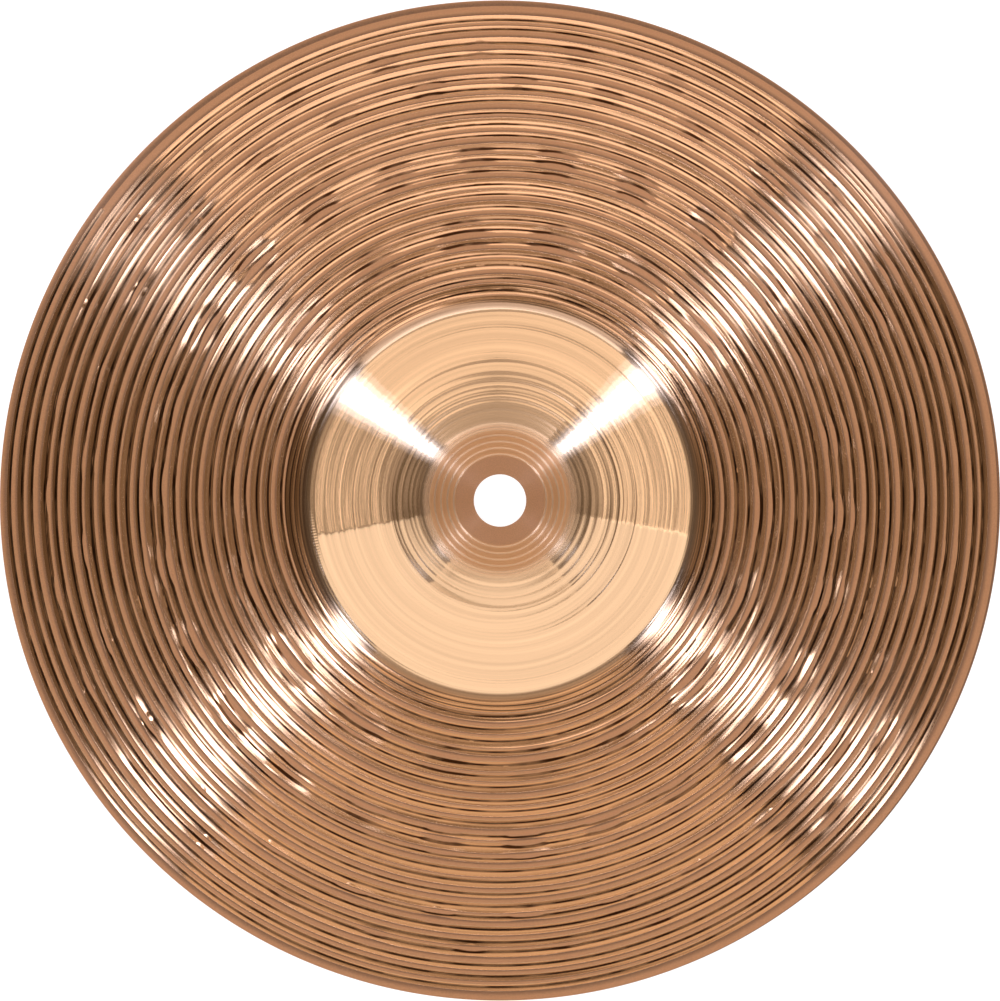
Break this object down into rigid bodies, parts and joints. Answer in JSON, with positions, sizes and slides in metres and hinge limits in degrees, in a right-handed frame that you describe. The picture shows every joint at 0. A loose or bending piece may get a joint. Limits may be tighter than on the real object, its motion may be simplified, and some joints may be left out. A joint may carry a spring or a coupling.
{
  "type": "crash cymbal",
  "caption": "Small crash (splash) cymbal: a round domed sheet of lathed and hammered bronze with a raised bell and a centre hole for a stand, struck to make a short bright crash.",
  "frame": {"origin": "on the axis of the centre hole, level with the lowest line of the edge", "axes": "+Z along the axis of the hole, up through the bell; X and Y lie in the plane of the edge"},
  "size_m": [0.254, 0.254, 0.0234],
  "materials": {
    "bronze": "lathed, with fine spiral grooves between raw matte ridges"
  },
  "bodies": {
    "root": {"cymbal": "bronze"}
  },
  "joints": []
}
